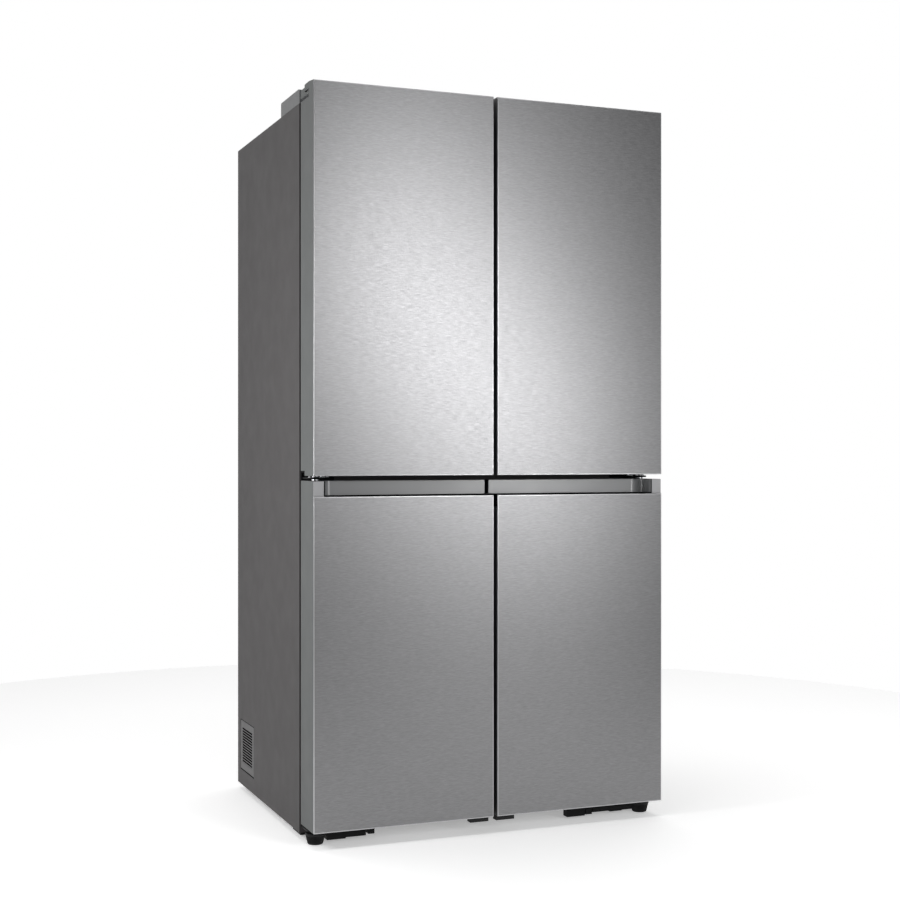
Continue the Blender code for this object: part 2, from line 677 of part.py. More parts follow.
def door_body(name, sign, level):
    """The foamed door: its sides, its end caps and its inner liner with the raised rim."""
    xs, zs = door_spans(sign, level)
    body = box(name, xs, (FRONT + FRONT_THICK + SEAT, DOOR_REAR), zs, DOOR_GREY)
    dyke_x, dyke_z = dyke_spans(sign, level)
    join(body, box(name + "_dyke", dyke_x, (DOOR_REAR - CLEAR, DOOR_REAR + DYKE_DEPTH), dyke_z))
    cut(body, box(name + "_recess", (dyke_x[0] + DYKE_WALL, dyke_x[1] - DYKE_WALL),
                  (DOOR_REAR - DYKE_RECESS, DOOR_REAR + DYKE_DEPTH + CLEAR),
                  (dyke_z[0] + DYKE_WALL, dyke_z[1] - DYKE_WALL)))
    if level == "upper":
        door_cap(body, sign)
        cut(body, hinge_notch(sign))
        cut(body, box(name + "_heel", (sign * (HALF - 0.016), sign * (HALF + CLEAR)),
                      (FRONT + CAP_STEP, DOOR_REAR + CLEAR), (UPPER_BOTTOM - CLEAR, UPPER_BOTTOM + 0.011)))
        cut(body, pin_bore(sign, (CABINET_TOP - PIN_REACH - CLEAR, CABINET_TOP + CLEAR)))
        cut(body, pin_bore(sign, (UPPER_BOTTOM - CLEAR, GAP_MIDDLE + PIN_REACH + CLEAR)))
    else:
        cut(body, grip_space(sign))
        cut(body, pin_bore(sign, (LOWER_TOP + CLEAR, GAP_MIDDLE - PIN_REACH - CLEAR)))
        cut(body, pin_bore(sign, (DOOR_BOTTOM - CLEAR, DOOR_BOTTOM + PIN_REACH + CLEAR)))
        stop = box(name + "_stop", (sign * STOP_NEAR, sign * STOP_FAR), (FRONT + STOP_FRONT, FRONT + STOP_BACK),
                   (DOOR_BOTTOM - STOP_DROP, DOOR_BOTTOM + CLEAR))
        join(body, stop)
    return body


def grip_outline(sign, grow, setback=-CLEAR):
    """Plan of the grip channel: open at the centre gap, with a round hinge-side corner at the back."""
    end, rear = HALF - GRIP_END + grow, FRONT + GRIP_DEPTH + grow
    corner = arc((end - GRIP_CORNER, rear - GRIP_CORNER), GRIP_CORNER, 0, 90, 6)
    front, centre = FRONT + setback, CENTRE_GAP / 2 - CLEAR
    points = [(centre, front), (end, front)] + corner + [(centre, rear)]
    return [(sign * x, y) for x, y in points]


def grip_space(sign):
    """The room that the grip channel takes in a lower door's body."""
    low = LOWER_TOP - GRIP_HEIGHT - GRIP_FLOOR_DROP
    grow = GRIP_WALL + SEAT
    return prism("grip_space", grip_outline(sign, grow), "XY", (low - grow, LOWER_TOP + CLEAR))


def grip(name, sign):
    """The moulded grip channel: a floor, a back and a round hinge-side end."""
    low = LOWER_TOP - GRIP_HEIGHT - GRIP_FLOOR_DROP - GRIP_WALL
    xs = span(sign * CENTRE_GAP / 2, sign * (HALF - GRIP_END + GRIP_WALL))
    ys = (FRONT + FRONT_THICK + SEAT, FRONT + GRIP_DEPTH + GRIP_WALL)
    body = box(name, xs, ys, (low, LOWER_TOP), GRIP_GREY)
    keep = prism(name + "_outside", grip_outline(sign, GRIP_WALL), "XY", (low - CLEAR, LOWER_TOP + CLEAR))
    combine(body, [keep], "INTERSECT")
    hollow = prism(name + "_hollow", grip_outline(sign, 0.0, FRONT_THICK + SEAT + GRIP_WALL), "XY",
                   (low + GRIP_WALL, LOWER_TOP + CLEAR))
    mouth = box(name + "_mouth", (0, sign * (HALF - GRIP_END)), (FRONT - CLEAR, FRONT + 3 * GRIP_WALL),
                (LOWER_TOP - GRIP_HEIGHT + GRIP_LIP, LOWER_TOP + CLEAR))
    return cut(body, hollow, mouth)


def gasket(name, sign, level):
    """The magnetic seal: one closed frame between the door and the cabinet."""
    (low_x, high_x), (low_z, high_z) = door_spans(sign, level)
    hinge = HINGE_INSET + 0.001
    low_x += hinge if sign < 0 else GASKET_INSET
    high_x -= GASKET_INSET if sign < 0 else hinge
    low_z += GASKET_INSET
    high_z = CABINET_TOP - GASKET_INSET if level == "upper" else high_z - GASKET_INSET
    ring = box(name, (low_x, high_x), (DOOR_REAR + SEAT, CABINET_FRONT - SEAT), (low_z, high_z), SEAL)
    w = GASKET_WIDTH
    through = (DOOR_REAR - CLEAR, CABINET_FRONT + CLEAR)
    return cut(ring, box(name + "_inside", (low_x + w, high_x - w), through, (low_z + w, high_z - w)))


def door_bins(prefix, sign):
    """Bins hung inside an upper door, one above the other."""
    (low_x, high_x), (low_z, high_z) = dyke_spans(sign, "upper")
    room = high_z - low_z - DYKE_WALL - BIN_HEIGHT - BIN_TOP_ROOM
    made = []
    for index, label in enumerate(("lower", "upper")):
        rise = room * (index + 1) / BIN_COUNT
        xs = (low_x + DYKE_WALL + SEAT, high_x - DYKE_WALL - SEAT)
        front = DOOR_REAR - DYKE_RECESS + SEAT
        made.append(tray("%s_bin_%s" % (prefix, label), xs, (front, front + BIN_DEPTH),
                         (low_z + rise, low_z + rise + BIN_HEIGHT), CLEAR_PLASTIC))
    return made


def flap_brackets(body):
    """The two small arms with pins that carry the folding flap."""
    for end, away in ((FLAP_LOW, -1), (FLAP_HIGH, 1)):
        near = end + away * 0.002
        arm = box("flap_arm", (-(FLAP_EDGE + FLAP_WIDTH) - 0.020, FLAP_AXIS_X + 0.008),
                  (FLAP_AXIS_Y - 0.008, FLAP_AXIS_Y + 0.008), span(near, near + away * 0.012))
        pin = cylinder("flap_pin", FLAP_PIN, 0.018, (FLAP_AXIS_X, FLAP_AXIS_Y, end))
        join(body, arm, pin)


def flap():
    """The folding mullion on the upper left door."""
    leaf = box("flap_mullion", (-(FLAP_EDGE + FLAP_WIDTH), -FLAP_EDGE), (FLAP_FRONT, FLAP_FRONT + FLAP_THICK),
               (FLAP_LOW, FLAP_HIGH), DOOR_GREY)
    for end in (FLAP_LOW, FLAP_HIGH):
        cut(leaf, cylinder("flap_bore", FLAP_PIN + RUNNING, 0.024, (FLAP_AXIS_X, FLAP_AXIS_Y, end)))
    return pivot("flap_axis", (FLAP_AXIS_X, FLAP_AXIS_Y, (FLAP_LOW + FLAP_HIGH) / 2), [leaf])


def door(side, sign, level):
    name = "%s_%s_door" % (level, side)
    xs, (low, high) = door_spans(sign, level)
    if level == "lower":
        high -= GRIP_HEIGHT
    body = door_body(name + "_body", sign, level)
    pieces = [front_panel(name + "_front", xs, (low, high)), body, gasket(name + "_gasket", sign, level)]
    if level == "upper":
        pieces += door_bins(name, sign)
    else:
        pieces.append(grip(name + "_grip", sign))
    if level == "upper" and sign < 0:
        flap_brackets(body)
    pivot(name + "_axis", (sign * HINGE_X, HINGE_Y, (low + high) / 2), pieces)


# Hinges

def hinge_arm(sign, half, shoulder, back, wide):
    """Plan of a hinge plate: a round nose about the pin, widening behind its shoulder to its seat."""
    nose = arc((0, 0), half, 180, 360, 8)
    points = nose + [(half, back), (-wide, back), (-wide, back - 0.012), (-half, shoulder)]
    return [(sign * (HINGE_X + x), HINGE_Y + y) for x, y in points]


def top_hinge(side, sign):
    low = CABINET_TOP + SEAT
    back = CABINET_FRONT - HINGE_Y + TOP_PLATE_LONG
    arm = hinge_arm(sign, ARM_HALF, CABINET_FRONT - HINGE_Y, back, TOP_PLATE_WIDE)
    plate = prism("top_hinge_" + side, arm, "XY", (low, low + PLATE), ZINC)
    bottom = CABINET_TOP - PIN_REACH
    top = low + PLATE - SEAT
    pin = cylinder("top_pin", PIN_RADIUS, top - bottom, (sign * HINGE_X, HINGE_Y, (bottom + top) / 2))
    return join(plate, pin)


def hinge_cover(side, sign):
    """The moulded cover over the top hinge, sloping down towards the door."""
    low, front, back = CABINET_TOP + SEAT, CABINET_FRONT - COVER_EDGE / 6, CABINET_FRONT + COVER_LONG
    shoulder = HEIGHT - COVER_EDGE
    outline = [(front, low), (back, low), (back, shoulder), (back - COVER_EDGE, HEIGHT),
               (front + 3 * COVER_EDGE, HEIGHT), (front, shoulder)]
    edge = sign * (HALF - SEAT)
    cover = prism("hinge_cover_" + side, outline, "YZ", span(edge, edge - sign * COVER_WIDE), COVER_GREY)
    reach = CABINET_FRONT - HINGE_Y + TOP_PLATE_LONG + CLEAR
    room = hinge_arm(sign, ARM_HALF + SEAT, CABINET_FRONT - HINGE_Y, reach, TOP_PLATE_WIDE + CLEAR)
    return cut(cover, prism("cover_room", room, "XY", (low - CLEAR, low + PLATE + SEAT)))


def middle_hinge(side, sign):
    """A plate in the gap between the doors, with a pin up and a pin down."""
    low = GAP_MIDDLE - PLATE / 2
    back = CABINET_FRONT - HINGE_Y - SEAT
    arm = hinge_arm(sign, MIDDLE_ARM_HALF, 0.020, back, 0.056)
    plate = prism("middle_hinge_" + side, arm, "XY", (low, low + PLATE), BLACK_STEEL)
    flange = box("middle_flange", (sign * (HINGE_X - 0.060), sign * (HINGE_X + 0.021)),
                 (CABINET_FRONT - 0.0035, CABINET_FRONT - SEAT), (GAP_MIDDLE - 0.0115, GAP_MIDDLE + 0.0115))
    pin = cylinder("middle_pin", PIN_RADIUS, 2 * PIN_REACH, (sign * HINGE_X, HINGE_Y, GAP_MIDDLE))
    return join(plate, flange, pin)


def bottom_hinge(side, sign):
    """The bracket under a lower door: it carries the pin, and a row of black blocks hangs from it."""
    low = PAN_BOTTOM + BRACKET_RISE
    back = CABINET_FRONT - HINGE_Y - SEAT
    reach = BLOCKS[side][-1][1] + 0.001
    front = FRONT + BLOCK_FRONT + 0.004 - HINGE_Y
    nose = 0.021
    seat = [(nose, back), (-reach, back), (-reach, front), (-nose - 0.005, front)]
    points = arc((0, 0), nose, 215, 360, 8) + seat
    outline = [(sign * (HINGE_X + x), HINGE_Y + y) for x, y in points]
    plate = prism("bottom_hinge_" + side, outline, "XY", (low, low + PLATE), BLACK_STEEL)
    for start, end, bottom in BLOCKS[side]:
        join(plate, box("block", (sign * (HINGE_X - start), sign * (HINGE_X - end)),
                        (FRONT + BLOCK_FRONT, FRONT + BLOCK_FRONT + BLOCK_DEPTH), (bottom, low + PLATE - 0.001)))
    top = DOOR_BOTTOM + PIN_REACH
    middle = (sign * HINGE_X, HINGE_Y, (top + low + SEAT) / 2)
    return join(plate, cylinder("bottom_pin", PIN_RADIUS, top - low - SEAT, middle))


def levelling_foot(side, sign):
    """A levelling foot, wider above, whose stem turns against the hinge bracket."""
    middle = (sign * HINGE_X, HINGE_Y, FOOT_HEIGHT / 2)
    return cylinder("foot_" + side, FOOT_RADIUS - FOOT_FLARE, FOOT_HEIGHT, middle, look=BLACK, sides=32,
                    top_radius=FOOT_RADIUS)


def roller(side, sign):
    """A rear roller with its axle."""
    middle = (sign * ROLLER_X, ROLLER_Y, ROLLER_RADIUS)
    wheel = cylinder("roller_" + side, ROLLER_RADIUS, ROLLER_WIDTH, middle, "X", BLACK, 32)
    axle = cylinder("axle", AXLE_RADIUS, ROLLER_WIDTH + AXLE_ENDS, middle, "X")
    return join(wheel, axle)


# Machine compartment

def compressor():
    """The sealed compressor: a welded pot with a domed top."""
    top, low, r = COMPRESSOR_HEIGHT, PAN_BOTTOM + PAN_THICK + SEAT, COMPRESSOR_RADIUS
    angles = [math.radians(a) for a in range(0, 91, 15)]
    dome = [(r * math.sin(a), top - r / 2 + r / 2 * math.cos(a)) for a in angles]
    seam_low, seam_high, rim = 0.104, 0.110, r + 0.004
    seam = [(r, seam_high), (rim, seam_high), (rim, seam_low), (r, seam_low)]
    foot = [(r, low + 0.020), (r - 0.020, low), (0, low)]
    curve = bpy.data.meshes.new("compressor")
    shape = bmesh.new()
    points = [shape.verts.new((x, 0, z)) for x, z in dome + seam + foot]
    for start, end in zip(points, points[1:]):
        shape.edges.new((start, end))
    shape.to_mesh(curve)
    shape.free()
    pot = add_object("compressor", curve, BLACK_STEEL)
    pot.location = (-0.240, BACK - 0.120, 0)
    turn = pot.modifiers.new("turn", "SCREW")
    turn.steps = 24
    turn.render_steps = 24
    turn.use_merge_vertices = True
    turn.merge_threshold = 0.0001
    return pot


def condenser_fan():
    """A five-bladed fan on its shaft, blowing across the machine compartment."""
    hub = cylinder("condenser_fan", 0.018, 0.024, (FAN_X, FAN_Y, FAN_Z), "X", BLACK)
    shaft = cylinder("fan_shaft", FAN_SHAFT, 0.044, (FAN_X + 0.012, FAN_Y, FAN_Z), "X")
    join(hub, shaft)
    for index in range(FAN_BLADES):
        blade = box("fan_blade_%d" % index, (-0.0012, 0.0012), (-0.018, 0.018), (0.012, FAN_RADIUS))
        blade.data.transform(Matrix.Translation(blade.location))
        blade.data.transform(Matrix.Rotation(math.radians(28), 4, "Z"))
        blade.location = (FAN_X, FAN_Y, FAN_Z)
        blade.rotation_euler = (2 * math.pi * index / FAN_BLADES, 0, 0)
        join(hub, blade)
    return hub


def inlet_box(name, shrink, ys, look=None):
    """A box on the mains inlet's middle, smaller than the inlet on every side."""
    return box(name, (INLET_X - INLET_HALF_X + shrink, INLET_X + INLET_HALF_X - shrink), ys,
               (INLET_Z - INLET_HALF_Z + shrink, INLET_Z + INLET_HALF_Z - shrink), look)


def power_inlet():
    """The mains inlet: a recessed socket behind the machine compartment's cover."""
    back = BACK - SHEET - SEAT
    inlet = inlet_box("power_inlet", 0.0, (back - INLET_DEPTH, back), BLACK)
    return cut(inlet, inlet_box("inlet_recess", INLET_WALL, (back - INLET_DEPTH + INLET_WALL, BACK)))


def build():
    panels = {side: side_panel(side, sign) for side, sign in SIDES}
    side_vent(panels["left"])
    top_panel()
    back_panel()
    cover = machine_cover()
    cut(cover, inlet_box("inlet_window", INLET_WALL - 0.002, (BACK - 2 * CLEAR, BACK + CLEAR)))
    base_pan()
    foam()
    fridge_liner()
    lower_liner("freezer_liner", -1)
    lower_liner("flex_liner", 1)
    mullion()
    shelves()
    drawers()
    duct_cover()
    fridge_light()
    for side, sign in SIDES:
        for level in ("upper", "lower"):
            door(side, sign, level)
        top_hinge(side, sign)
        hinge_cover(side, sign)
        middle_hinge(side, sign)
        bottom_hinge(side, sign)
        levelling_foot(side, sign)
        roller(side, sign)
    flap()
    compressor()
    condenser_fan()
    power_inlet()
    bpy.context.view_layer.update()


build()
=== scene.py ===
"""The looks of the french door refrigerator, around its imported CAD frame. Metres, +Z up, -Y the front."""
import json
import math

import bmesh
import bpy
from mathutils import Matrix, Quaternion, Vector

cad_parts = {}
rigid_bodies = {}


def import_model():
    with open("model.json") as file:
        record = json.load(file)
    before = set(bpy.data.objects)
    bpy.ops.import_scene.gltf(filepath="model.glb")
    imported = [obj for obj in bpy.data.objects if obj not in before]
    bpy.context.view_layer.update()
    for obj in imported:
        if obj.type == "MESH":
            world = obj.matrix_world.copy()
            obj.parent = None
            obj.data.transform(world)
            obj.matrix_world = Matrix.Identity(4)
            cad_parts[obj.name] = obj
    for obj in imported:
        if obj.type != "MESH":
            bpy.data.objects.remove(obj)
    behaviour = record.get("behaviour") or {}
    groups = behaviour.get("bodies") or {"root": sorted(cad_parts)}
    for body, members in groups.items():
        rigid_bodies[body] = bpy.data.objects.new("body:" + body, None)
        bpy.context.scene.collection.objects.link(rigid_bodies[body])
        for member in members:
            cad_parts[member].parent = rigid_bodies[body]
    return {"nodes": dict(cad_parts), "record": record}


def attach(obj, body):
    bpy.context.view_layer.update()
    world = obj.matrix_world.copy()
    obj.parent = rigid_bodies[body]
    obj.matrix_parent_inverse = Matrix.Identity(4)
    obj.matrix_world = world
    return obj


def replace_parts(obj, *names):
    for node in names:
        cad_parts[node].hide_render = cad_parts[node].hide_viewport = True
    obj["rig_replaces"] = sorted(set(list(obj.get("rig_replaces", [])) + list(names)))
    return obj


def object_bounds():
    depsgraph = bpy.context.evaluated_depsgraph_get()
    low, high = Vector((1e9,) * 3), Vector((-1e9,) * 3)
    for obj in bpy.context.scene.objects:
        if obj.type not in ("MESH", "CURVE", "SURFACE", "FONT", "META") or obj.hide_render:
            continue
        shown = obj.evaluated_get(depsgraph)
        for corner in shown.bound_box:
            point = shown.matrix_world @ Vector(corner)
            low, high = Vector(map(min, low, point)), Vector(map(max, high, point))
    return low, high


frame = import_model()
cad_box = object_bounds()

NODE_BODY = {n: body for body, nodes in frame["record"]["behaviour"]["bodies"].items() for n in nodes}
NODE_SLOT = {entry["node"]: entry["material_slot"] for entry in frame["record"]["subparts"]}
LEVELS = ("upper", "lower")
SIDES = (("left", -1), ("right", 1))
FRONT_PLANE = cad_box[0][1]
HINGE_LINE = cad_box[1][0] - 0.025
HINGE_DEPTH = FRONT_PLANE + 0.070
DOOR_FOOT = 0.040


# ---------------------------------------------------------------- materials

class Surface:
    """A node material under construction: object coordinates, one shader and small helpers."""

    def __init__(self, name, colour, roughness, metallic=0.0, **constants):
        self.material = bpy.data.materials.new(name)
        self.material.use_nodes = True
        self.tree = self.material.node_tree
        self.shader = self.tree.nodes["Principled BSDF"]
        self.colour = colour
        self.roughness = roughness
        self.shader.inputs["Base Color"].default_value = (*colour, 1.0)
        self.shader.inputs["Roughness"].default_value = roughness
        self.shader.inputs["Metallic"].default_value = metallic
        for socket, value in constants.items():
            self.shader.inputs[socket.replace("_", " ")].default_value = value
        self.place = self.add("ShaderNodeTexCoord").outputs["Object"]

    def add(self, kind, **settings):
        node = self.tree.nodes.new(kind)
        for key, value in settings.items():
            setattr(node, key, value)
        return node

    def link(self, source, target):
        self.tree.links.new(source, target)

    def stretched(self, scale):
        node = self.add("ShaderNodeMapping")
        node.inputs["Scale"].default_value = scale
        self.link(self.place, node.inputs["Vector"])
        return node.outputs["Vector"]

    def noise(self, scale, detail=3.0, stretch=None, rough=0.55):
        node = self.add("ShaderNodeTexNoise")
        node.inputs["Scale"].default_value = scale
        node.inputs["Detail"].default_value = detail
        node.inputs["Roughness"].default_value = rough
        self.link(self.stretched(stretch) if stretch else self.place, node.inputs["Vector"])
        return node.outputs["Fac"]

    def ranged(self, value, low, high):
        """Spreads the middle of a noise, where most of its values lie, over low to high."""
        node = self.add("ShaderNodeMapRange")
        node.inputs["From Min"].default_value = 0.3
        node.inputs["From Max"].default_value = 0.7
        node.inputs["To Min"].default_value = low
        node.inputs["To Max"].default_value = high
        self.link(value, node.inputs["Value"])
        return node.outputs["Result"]

    def vary_colour(self, value, amount):
        """Darkens and lightens the colour by a share."""
        node = self.add("ShaderNodeMix", data_type="RGBA")
        low = [max(0.0, c * (1 - amount)) for c in self.colour]
        high = [min(1.0, c * (1 + amount)) for c in self.colour]
        node.inputs["A"].default_value = (*low, 1.0)
        node.inputs["B"].default_value = (*high, 1.0)
        self.link(self.ranged(value, 0.0, 1.0), node.inputs["Factor"])
        self.link(node.outputs["Result"], self.shader.inputs["Base Color"])

    def vary_roughness(self, value, spread):
        low, high = max(0.02, self.roughness - spread), min(1.0, self.roughness + spread)
        self.link(self.ranged(value, low, high), self.shader.inputs["Roughness"])

    def bump(self, value, depth, strength=1.0):
        node = self.add("ShaderNodeBump")
        node.inputs["Strength"].default_value = strength
        node.inputs["Distance"].default_value = depth
        self.link(value, node.inputs["Height"])
        self.link(node.outputs["Normal"], self.shader.inputs["Normal"])


def brushed_stainless():
    """Stainless sheet, brushed sideways: long fine streaks over a soft gloss."""
    made = Surface("brushed_stainless", (0.216, 0.216, 0.220), 0.36, 1.0, Anisotropic=0.42)
    streaks = made.noise(60.0, 4.0, (1.2, 1.0, 20.0), 0.6)
    fine = made.noise(260.0, 2.0, (0.20, 1.0, 7.0), 0.5)
    made.vary_colour(streaks, 0.16)
    made.vary_roughness(fine, 0.06)
    made.bump(fine, 0.00005, 0.30)
    tangent = made.add("ShaderNodeTangent", direction_type="RADIAL", axis="X")
    made.link(tangent.outputs["Tangent"], made.shader.inputs["Tangent"])
    return made.material


def enamel(name, colour, roughness=0.38, grain=0.00005):
    """Painted sheet steel: a fine grain and a slight unevenness."""
    made = Surface(name, colour, roughness, 0.0, Specular_IOR_Level=0.13)
    made.vary_colour(made.noise(3.0, 4.0), 0.012)
    made.vary_roughness(made.noise(18.0, 3.0), 0.03)
    made.bump(made.noise(420.0, 2.0), grain, 0.35)
    return made.material


def moulded(name, colour, roughness=0.5, grain=0.0001, density=900.0, **constants):
    """Moulded plastic with a fine spark-eroded grain."""
    made = Surface(name, colour, roughness, 0.0, **constants)
    made.vary_colour(made.noise(5.0, 3.0), 0.012)
    made.vary_roughness(made.noise(30.0, 3.0), 0.03)
    made.bump(made.noise(density, 2.0), grain, 0.35)
    return made.material


def rubber(name, colour):
    """Soft rubber: dull, with a faint sheen."""
    made = Surface(name, colour, 0.72, 0.0, Sheen_Weight=0.15)
    made.vary_colour(made.noise(40.0, 3.0), 0.15)
    made.vary_roughness(made.noise(90.0, 2.0), 0.08)
    made.bump(made.noise(700.0, 2.0), 0.0001, 0.4)
    return made.material


def metal(name, colour, roughness, grain=0.00006, unevenness=0.10):
    """Bare or plated metal with an uneven finish."""
    made = Surface(name, colour, roughness, 1.0)
    made.vary_colour(made.noise(60.0, 4.0), unevenness)
    made.vary_roughness(made.noise(120.0, 3.0), 0.08)
    made.bump(made.noise(300.0, 3.0), grain, 0.4)
    return made.material


def clear(name, colour, roughness, transmission=0.92, ior=1.45):
    """Clear glass or plastic, with faint smears that only the gloss shows."""
    made = Surface(name, colour, roughness, 0.0, Transmission_Weight=transmission, IOR=ior)
    made.vary_roughness(made.noise(12.0, 4.0), 0.03)
    made.vary_colour(made.noise(2.5, 2.0), 0.02)
    made.bump(made.noise(30.0, 2.0), 0.00005, 0.2)
    return made.material


def foam_skin():
    """Rigid insulating foam, rough where it met the mould."""
    made = Surface("foam_skin", (0.80, 0.72, 0.52), 0.9)
    made.vary_colour(made.noise(90.0, 5.0), 0.12)
    made.bump(made.noise(220.0, 4.0), 0.0006, 0.6)
    made.vary_roughness(made.noise(60.0), 0.06)
    return made.material


def glowing(name, colour, strength):
    """A diffuser lit from inside."""
    made = Surface(name, colour, 0.45, 0.0, Emission_Strength=strength)
    made.shader.inputs["Emission Color"].default_value = (*colour, 1.0)
    made.vary_roughness(made.noise(200.0), 0.08)
    made.bump(made.noise(500.0, 2.0), 0.0001, 0.3)
    return made.material


# A lighter steel for the fronts' rims and rounded edges: a painted highlight.
HIGHLIGHT_STEEL = metal("painted_highlight_steel", (0.46, 0.46, 0.47), 0.36, 0.00001, 0.02)
CAP = moulded("door_cap_grey", (0.16, 0.163, 0.166), 0.5)
END_BLOCK = moulded("grip_end_grey", (0.40, 0.40, 0.41), 0.45)
# Near-black without any gloss: painted shade in the vent slots and in the grip gaps, and also the colour of
# the vent's dark joint.
SHADE_AND_JOINT_BLACK = moulded("painted_shade_and_joint_black", (0.004, 0.004, 0.004), 0.9, Specular_IOR_Level=0.0)
TRIM = moulded("shelf_trim", (0.70, 0.72, 0.74), 0.35)
COPPER = metal("copper_pipe", (0.72, 0.36, 0.22), 0.3)

LOOKS = {
    "stainless": brushed_stainless(),
    "cabinet_steel": enamel("cabinet_enamel", (0.060, 0.056, 0.057), 0.52),
    "vent_plastic": moulded("vent_plastic", (0.066, 0.064, 0.066), 0.5),
    "black_steel": enamel("black_powder_coat", (0.006, 0.006, 0.0065), 0.55, 0.0001),
    "compressor_steel": enamel("compressor_enamel", (0.012, 0.012, 0.013), 0.35),
    "foam": foam_skin(),
    "liner_white": moulded("liner_white", (0.80, 0.82, 0.84), 0.45, 0.00002, 1100.0),
    "duct_white": moulded("duct_white", (0.72, 0.74, 0.76), 0.4),
    "shelf_glass": clear("shelf_glass", (0.90, 0.97, 0.95), 0.03),
    "clear_plastic": clear("clear_plastic", (0.93, 0.96, 0.98), 0.10, 0.80, 1.42),
    "light_diffuser": glowing("light_diffuser", (1.0, 0.99, 0.96), 0.6),
    "cover_plastic": moulded("cover_grey", (0.135, 0.137, 0.14), 0.55, 0.00016, 700.0),
    "zinc_steel": metal("zinc_plate", (0.62, 0.62, 0.64), 0.35),
    "black_plastic": moulded("black_plastic", (0.006, 0.006, 0.0065), 0.6, 0.00015,
                             Specular_IOR_Level=0.30),
    "fan_plastic": moulded("fan_black", (0.02, 0.02, 0.022), 0.5),
    "inlet_plastic": moulded("inlet_black", (0.018, 0.018, 0.018), 0.5),
    "flap_plastic": moulded("flap_grey", (0.05, 0.051, 0.052), 0.42),
    "door_grey": enamel("door_side_grey", (0.092, 0.098, 0.097), 0.44),
    "seal_rubber": rubber("seal_rubber", (0.009, 0.009, 0.010)),
    "grip_plastic": moulded("grip_grey", (0.30, 0.305, 0.312), 0.32, 0.00005, 1200.0,
                            Coat_Weight=0.6, Coat_Roughness=0.22),
}


# ---------------------------------------------------------------- pieces

SHARP_ANGLE = math.radians(35)
BEVEL_ANGLE = math.radians(40)


def publish(piece, body, slot, replaced=()):
    """A finished piece: it rides on its body and stands for CAD nodes. The slot argument is not used."""
    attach(piece, body)
    if replaced:
        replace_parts(piece, *replaced)
    return piece


def new_object(name, shape, materials):
    """An object from a bmesh, shaded smooth between its sharp edges."""
    mesh = bpy.data.meshes.new(name)
    shape.to_mesh(mesh)
    shape.free()
    for entry in materials:
        mesh.materials.append(entry)
    made = bpy.data.objects.new(name, mesh)
    bpy.context.scene.collection.objects.link(made)
    mesh.shade_smooth()
    mesh.set_sharp_from_angle(angle=SHARP_ANGLE)
    return made


def level_normals(piece):
    """Keeps the large flat faces flat where they meet small rounded ones."""
    change = piece.modifiers.new("level_normals", "WEIGHTED_NORMAL")
    change.keep_sharp = True
    change.weight = 100


def applied(piece):
    """Bakes a piece's modifiers into its mesh."""
    bpy.context.view_layer.update()
    seen = piece.evaluated_get(bpy.context.evaluated_depsgraph_get())
    mesh = bpy.data.meshes.new_from_object(seen)
    piece.modifiers.clear()
    piece.data = mesh
    return piece


def from_node(node, bevel, materials=None, pick=None, rim=0.0):
    """A piece with the true shape of a CAD node, its edges softened.

    pick chooses a material for each face, and rim gives the largest front face a border of the second one.
    """
    shape = bmesh.new()
    shape.from_mesh(frame["nodes"][node].data)
    bmesh.ops.remove_doubles(shape, verts=shape.verts, dist=0.00002)
    bmesh.ops.dissolve_limit(shape, angle_limit=math.radians(1.0), verts=shape.verts, edges=shape.edges)
    materials = materials or [LOOKS[NODE_SLOT[node]]]
    for face in shape.faces:
        face.material_index = pick(face.calc_center_median(), face.normal) if pick else 0
    if rim:
        fronts = [face for face in shape.faces if face.normal.y < -0.98]
        widest = max(fronts, key=lambda face: face.calc_area())
        ring = bmesh.ops.inset_region(shape, faces=[widest], thickness=rim, use_even_offset=True)["faces"]
        for face in ring:
            face.material_index = 1
    piece = new_object(node + "_skin", shape, materials)
    if bevel:
        change = piece.modifiers.new("soft_edges", "BEVEL")
        change.width = bevel
        change.segments = 2
        change.limit_method = "ANGLE"
        change.angle_limit = BEVEL_ANGLE
        change.miter_outer = "MITER_ARC"
        change.harden_normals = True
    level_normals(piece)
    applied(piece)
    return publish(piece, NODE_BODY[node], NODE_SLOT[node], [node])


def limits(node):
    """The lowest and the highest corner of a CAD node at rest."""
    owner = frame["nodes"][node]
    corners = [owner.matrix_world @ Vector(corner) for corner in owner.bound_box]
    return [min(c[i] for c in corners) for i in range(3)], [max(c[i] for c in corners) for i in range(3)]


def swept_frame(shape, lows, highs, outline, place):
    """A closed outline of (inset, depth) points swept round a rectangle, with mitred corners."""
    rings = []
    for corner in range(4):
        ring = []
        for inset, depth in outline:
            u = lows[0] + inset if corner in (0, 3) else highs[0] - inset
            v = lows[1] + inset if corner in (0, 1) else highs[1] - inset
            ring.append(shape.verts.new(place(u, v, depth)))
        rings.append(ring)
    for index in range(4):
        near, far = rings[index], rings[(index + 1) % 4]
        for k in range(len(outline)):
            n = (k + 1) % len(outline)
            shape.faces.new((near[k], far[k], far[n], near[n]))
    bmesh.ops.recalc_face_normals(shape, faces=shape.faces)


def extruded(shape, outline, start, end, place):
    """A flat outline given a thickness; place turns (u, v, depth) into a point."""
    near = [shape.verts.new(place(u, v, start)) for u, v in outline]
    far = [shape.verts.new(place(u, v, end)) for u, v in outline]
    faces = [shape.faces.new(near), shape.faces.new(far)]
    for k in range(len(outline)):
        n = (k + 1) % len(outline)
        faces.append(shape.faces.new((near[k], near[n], far[n], far[k])))
    bmesh.ops.recalc_face_normals(shape, faces=faces)


def block(shape, lows, highs):
    """A box between two corners."""
    outline = [(lows[0], lows[1]), (highs[0], lows[1]), (highs[0], highs[1]), (lows[0], highs[1])]
    extruded(shape, outline, lows[2], highs[2], lambda u, v, w: (u, v, w))


